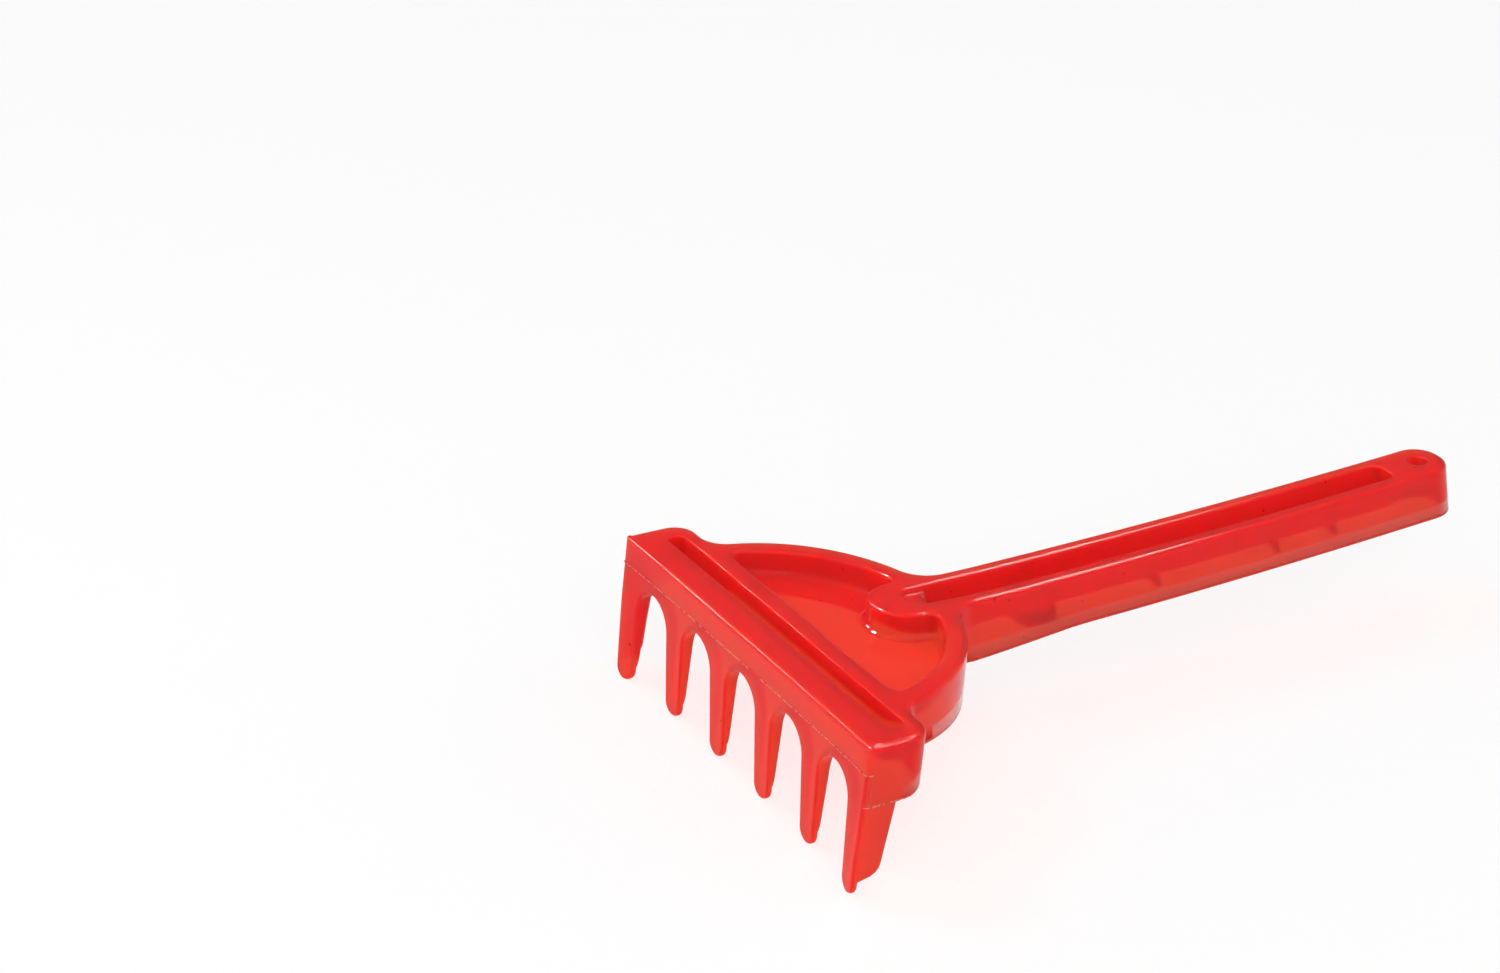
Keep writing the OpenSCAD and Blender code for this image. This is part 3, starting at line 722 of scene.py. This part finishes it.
def rib(name, node, step=None):
    """Sweeps a side view across the handle: a triangle, or a block with a step in front."""
    start, end = from_front(node, LOW), from_front(node, HIGH)
    roof, foot = FLOOR_H + RIB_GAP, below_top(node, LOW) + RIB_GAP
    profile = [(start, roof), (end, roof), (end, foot)]
    if step:
        step_y, step_h = start + step[0], roof + step[1]
        profile += [(step_y, foot), (step_y, step_h), (start, step_h)]
    half = half_width(node) - RIB_GAP
    mesh = bmesh.new()
    ends = [[mesh.verts.new((x, y, -h)) for y, h in profile] for x in (-half, half)]
    mesh.faces.new(ends[0])
    mesh.faces.new(ends[1][::-1])
    for i in range(len(profile)):
        mesh.faces.new((ends[0][i], ends[0][i - 1], ends[1][i - 1], ends[1][i]))
    bmesh.ops.recalc_face_normals(mesh, faces=mesh.faces)
    bmesh.ops.bevel(mesh, geom=mesh.edges[:], offset=RIB_BEVEL, segments=BEVEL_ROWS, profile=BEVEL_ROUND,
                    affect="EDGES")
    return piece_from(name, mesh, node)


ribs = [rib("stepped_block", "neck_block", BLOCK_STEP)]
ribs += [rib("gusset_rib_%d" % k, "gusset_%d" % k) for k in (1, 2, 3)]
print("ribs:", len(ribs))

# %% [markdown]
# A finish is a net of shader nodes. It could be drawn by hand in the node editor, but sums read best as
# Python. A wire wraps a socket, and adding, multiplying or comparing wires adds the Math node that does
# it. Every other node comes from one method, which sets the node's own settings first and then its
# sockets.

# %% Wires and finishes
class Wire:
    """An output socket that takes part in sums."""

    def __init__(self, finish, socket):
        self.finish, self.socket = finish, socket

    def sum(self, operation, a, b):
        return self.finish.node("ShaderNodeMath", {"operation": operation}, {0: a, 1: b})

    def __add__(self, other):
        return self.sum("ADD", self, other)

    def __radd__(self, other):
        return self.sum("ADD", other, self)

    def __mul__(self, other):
        return self.sum("MULTIPLY", self, other)

    def __rmul__(self, other):
        return self.sum("MULTIPLY", other, self)

    def __gt__(self, other):
        return self.sum("GREATER_THAN", self, other)

    def __lt__(self, other):
        return self.sum("LESS_THAN", self, other)


class Finish:
    """A material or a world built node by node."""

    def __init__(self, owner):
        self.owner = owner
        owner.use_nodes = True
        self.tree = owner.node_tree
        self.tree.nodes.clear()

    def node(self, kind, settings, sockets, output=0):
        """Adds a node and returns one of its outputs, or the owner where a node has none."""
        made = self.tree.nodes.new(kind)
        for key, value in settings.items():
            setattr(made, key, value)
        for key, value in sockets.items():
            if isinstance(value, Wire):
                self.tree.links.new(value.socket, made.inputs[key])
            else:
                made.inputs[key].default_value = value
        return Wire(self, made.outputs[output]) if made.outputs else self.owner

    def mix(self, share, first, second):
        """A colour between two; 6, 7 and 2 are the colour sockets of a Mix node."""
        return self.node("ShaderNodeMix", {"data_type": "RGBA"}, {0: share, 6: first, 7: second}, 2)

    def near(self, value, middle, reach):
        return self.node("ShaderNodeMath", {"operation": "COMPARE"}, {0: value, 1: middle, 2: reach})

    def surface(self, shader):
        return self.node("ShaderNodeOutputMaterial", {}, {"Surface": shader})


print("finishes are ready")

# %% [markdown]
# The plastic is a clear red, glossy but not perfect. Its colour drifts slightly with the flow of the
# melt, a few dark specks are frozen in, and the skin has a faint unevenness. A broken pale line is
# painted along the mould line at the front and at the right end: a painted highlight, where the fine
# bead on that line catches the light. An image could hold all that, but noise in the part's own space
# needs no unwrapping and goes round every edge.

# %% What varies over the plastic
SPECK_LEVEL, SPECK_SHARE = 0.79, 0.8  # noise above this is a speck, and how strongly it covers
# The pale line set by these is a painted highlight along the mould line's bead.
HIGHLIGHT_RISE, HIGHLIGHT_HALF = 0.22, 0.13  # the pale line's middle above the rim, and half its width
HIGHLIGHT_DEEP, HIGHLIGHT_IN = 1.0, 0.6  # how far it reaches behind the front face, and in from the right end
HIGHLIGHT_BREAK, HIGHLIGHT_SHARE = 0.47, 0.55  # noise below this breaks the line, and how strongly it covers
WAVE_SHARE, SKIN_SHARE = 0.6, 0.1  # parts of the waves and the fine skin in the bump
GLOSS, GLOSS_DRIFT = 0.03, 0.05  # least roughness, and how much the fine skin adds

plastic = Finish(bpy.data.materials.new("translucent_red_plastic"))
where = plastic.node("ShaderNodeTexCoord", {}, {}, "Object")


def noise(scale, detail, roughness):
    return plastic.node("ShaderNodeTexNoise", {}, {
        "Vector": where, "Scale": scale, "Detail": detail, "Roughness": roughness})


def mould_line(depth_below):
    return plastic.near(level, (DROP - depth_below + HIGHLIGHT_RISE) / MM, HIGHLIGHT_HALF / MM)


flow = noise(scale=38.0, detail=2.0, roughness=0.5)
dirt = noise(scale=420.0, detail=1.0, roughness=0.4)
skin = noise(scale=900.0, detail=2.0, roughness=0.6)
wave = noise(scale=120.0, detail=1.0, roughness=0.5)
speck = (dirt > SPECK_LEVEL) * SPECK_SHARE
across, along, level = [plastic.node("ShaderNodeSeparateXYZ", {}, {0: where}, axis) for axis in "XYZ"]
front_line = (along < (HIGHLIGHT_DEEP - LENGTH / 2) / MM) * mould_line(SEAM_H)
end_line = (across > (BAR_HALF - HIGHLIGHT_IN) / MM) * mould_line(END_H)
# Painted highlight: a broken pale line along the mould line at the front and at the right end.
painted_highlight_line = (front_line + end_line) * (skin > HIGHLIGHT_BREAK) * HIGHLIGHT_SHARE
unevenness = wave * WAVE_SHARE + skin * SKIN_SHARE
bump = plastic.node("ShaderNodeBump", {}, {"Strength": 0.1, "Distance": 0.0004, "Height": unevenness})
gloss = GLOSS + GLOSS_DRIFT * skin
print("nodes so far:", len(plastic.tree.nodes))

# %% [markdown]
# Light does two things in such plastic: some of it scatters inside and comes back as an even red glow,
# and some goes straight through, so that ribs show as darker shapes. One Principled shader with half its
# transmission on could give both, but then they share one colour. Two shaders, mixed half and half, let
# the clear part be a little more orange. Their mirror shine is set low, because a full one lays a white
# haze of the bright room over the red.

# %% The red plastic
RED, FLOW_RED = (0.70, 0.038, 0.044, 1), (0.71, 0.048, 0.044, 1)
CLEAR, FLOW_CLEAR = (0.82, 0.088, 0.026, 1), (0.83, 0.118, 0.030, 1)
# The pale pink is the colour of the painted highlight on the mould line.
SPECK, PAINTED_HIGHLIGHT = (0.35, 0.004, 0.004, 1), (0.95, 0.50, 0.45, 1)
CLEAR_SHARE, CLEAR_DULL = 0.5, 0.03  # share of the clear part, and how much rougher it is


def tinted(colour, drift):
    """A colour that drifts with the flow, with the specks and the painted highlight of the mould line on it.
    """
    return plastic.mix(painted_highlight_line, plastic.mix(speck, plastic.mix(flow, colour, drift), SPECK), PAINTED_HIGHLIGHT)


milky = plastic.node("ShaderNodeBsdfPrincipled", {}, {
    "Base Color": tinted(RED, FLOW_RED), "Roughness": gloss, "Normal": bump,
    "IOR": 1.49, "Specular IOR Level": 0.06,
    "Subsurface Weight": 1.0, "Subsurface Radius": (1.0, 0.12, 0.10), "Subsurface Scale": 0.004})
clear = plastic.node("ShaderNodeBsdfPrincipled", {}, {
    "Base Color": tinted(CLEAR, FLOW_CLEAR), "Roughness": gloss + CLEAR_DULL, "Normal": bump,
    "IOR": 1.15, "Transmission Weight": 1.0})
red_plastic = plastic.surface(plastic.node("ShaderNodeMixShader", {}, {0: CLEAR_SHARE, 1: milky, 2: clear}))
for piece in [moulded_shell, tine_comb] + ribs:
    piece.data.materials.append(red_plastic)
print("plastic nodes:", len(plastic.tree.nodes))

# %% [markdown]
# The rake stands on a sheet of white paper. More light could make the paper white in the picture, but it
# would bleach the red as well. So the paper glows for the rays that the camera sees, directly, in
# reflections or through the plastic. The rest of it stays matt paper, which keeps the rake's shadow.

# %% Floor
FLOOR_SIZE, FLOOR_Z = 8.0, -0.0006  # metres; the sheet lies just under the lowest tips
PAPER, PAPER_FIBRE, WHITE = (0.97, 0.97, 0.97, 1), (0.99, 0.99, 0.99, 1), (1, 1, 1, 1)
GLOW_SHARE = 0.75  # share of the glow in what those rays meet

bpy.ops.mesh.primitive_plane_add(size=FLOOR_SIZE, location=(0, 0, FLOOR_Z))
studio_floor = bpy.context.object
studio_floor.name = "studio_floor"
paper = Finish(bpy.data.materials.new("white_paper"))
fibre = paper.node("ShaderNodeTexNoise", {}, {"Scale": 300.0, "Detail": 2.0})
matt = paper.node("ShaderNodeBsdfPrincipled", {}, {
    "Base Color": paper.mix(fibre, PAPER, PAPER_FIBRE), "Roughness": 0.9, "Specular IOR Level": 0.1})
glow = paper.node("ShaderNodeEmission", {}, {"Color": WHITE, "Strength": 1.0})
seen, reflected, passed = [paper.node("ShaderNodeLightPath", {}, {}, ray)
                           for ray in ("Is Camera Ray", "Is Glossy Ray", "Is Transmission Ray")]
glow_share = (seen + reflected + passed) * GLOW_SHARE
sheet = paper.node("ShaderNodeMixShader", {}, {0: glow_share, 1: matt, 2: glow})
studio_floor.data.materials.append(paper.surface(sheet))
print("floor at", studio_floor.location)

# %% [markdown]
# The room is an even pale grey all round, which lights the rake softly from every side. An environment
# image could do that too, but a plain level keeps the colours as they are written. One corner, at the
# back left, is darker: the flat top faces mirror it, and stay red instead of hazy.

# %% Room
ROOM, DIM = (0.75, 0.75, 0.75, 1), (0.30, 0.30, 0.30, 1)
DIM_TOWARDS = (-0.78, 0.42, 0.47)  # the middle of the dim corner
DIM_START, DIM_FULL = 0.55, 0.95  # cosines of the angle from that direction

room = Finish(bpy.data.worlds.new("studio_world"))
direction = room.node("ShaderNodeTexCoord", {}, {}, "Generated")
closeness = room.node("ShaderNodeVectorMath", {"operation": "DOT_PRODUCT"}, {
    0: direction, 1: DIM_TOWARDS}, "Value")
dim_corner = room.node("ShaderNodeMapRange", {"interpolation_type": "SMOOTHSTEP"}, {
    0: closeness, 1: DIM_START, 2: DIM_FULL})
walls = room.node("ShaderNodeBackground", {}, {"Color": room.mix(dim_corner, ROOM, DIM), "Strength": 1.0})
bpy.context.scene.world = room.node("ShaderNodeOutputWorld", {}, {"Surface": walls})
print("room nodes:", len(room.tree.nodes))

# %% [markdown]
# Two weak softboxes give the light a direction. Three brighter lamps make the glints on rounds and inside
# corners. They could simply be strong softboxes, but those would bleach the red, so they are hidden from
# diffuse and transmitted rays, and act mostly through the gloss.

# %% Lamps
def softbox(name, place, aim, size, power, glint=False):
    """A flat lamp, its width level, its face towards a point; a glint lamp acts mostly through the gloss."""
    lamp = bpy.data.lights.new(name, "AREA")
    lamp.shape, lamp.energy = "RECTANGLE", power
    lamp.size, lamp.size_y = size
    box = bpy.data.objects.new(name, lamp)
    box.location = place
    box.rotation_euler = (Vector(aim) - Vector(place)).to_track_quat("-Z", "Y").to_euler()
    box.visible_diffuse = box.visible_transmission = not glint
    bpy.context.scene.collection.objects.link(box)
    return box


MIDDLE, HEAD = (0, 0, 0.03), (0, -0.08, 0.03)  # points of the rake that the lamps face
lamps = [
    softbox("key_softbox", (-0.45, -0.50, 0.95), MIDDLE, size=(0.30, 0.30), power=1.0),
    softbox("right_softbox", (1.00, -0.50, 0.90), MIDDLE, size=(0.90, 0.90), power=7.0),
    softbox("front_glint", (-0.55, -0.46, 0.86), MIDDLE, size=(0.13, 0.13), power=150.0, glint=True),
    softbox("left_glint", (-0.98, -0.58, 0.60), HEAD, size=(0.30, 0.30), power=22.0, glint=True),
    softbox("back_glint", (0.05, 0.62, 1.10), MIDDLE, size=(1.50, 0.14), power=27.0, glint=True)]
print("lamps:", [lamp.name for lamp in lamps])

# %% [markdown]
# The camera stands where the picture was taken: to the right of the head, above the rake, with a longish
# lens. It could be aimed by eye with a Track To constraint, but its place and turn come from matching the
# rake's straight edges, so they are set as they were found. It needs no shift.

# %% Camera
EYE = Vector((549.06, -408.49, 375.87)) / MM
RIGHT, UP = Vector((0.48272, 0.87573, 0.00894)), Vector((-0.38117, 0.20090, 0.90241))  # of the picture
SENSOR_W, FOCAL_LENGTH = 36.0, 73.23

lens = bpy.data.cameras.new("camera")
lens.sensor_width, lens.lens = SENSOR_W, FOCAL_LENGTH
camera = bpy.data.objects.new("camera", lens)
turn = Matrix((RIGHT, UP, RIGHT.cross(UP))).transposed().to_4x4()
camera.matrix_world = Matrix.Translation(EYE) @ turn
bpy.context.scene.collection.objects.link(camera)
bpy.context.scene.camera = camera
bpy.context.scene.view_settings.view_transform = "Standard"
print("camera at", tuple(round(v, 3) for v in EYE))
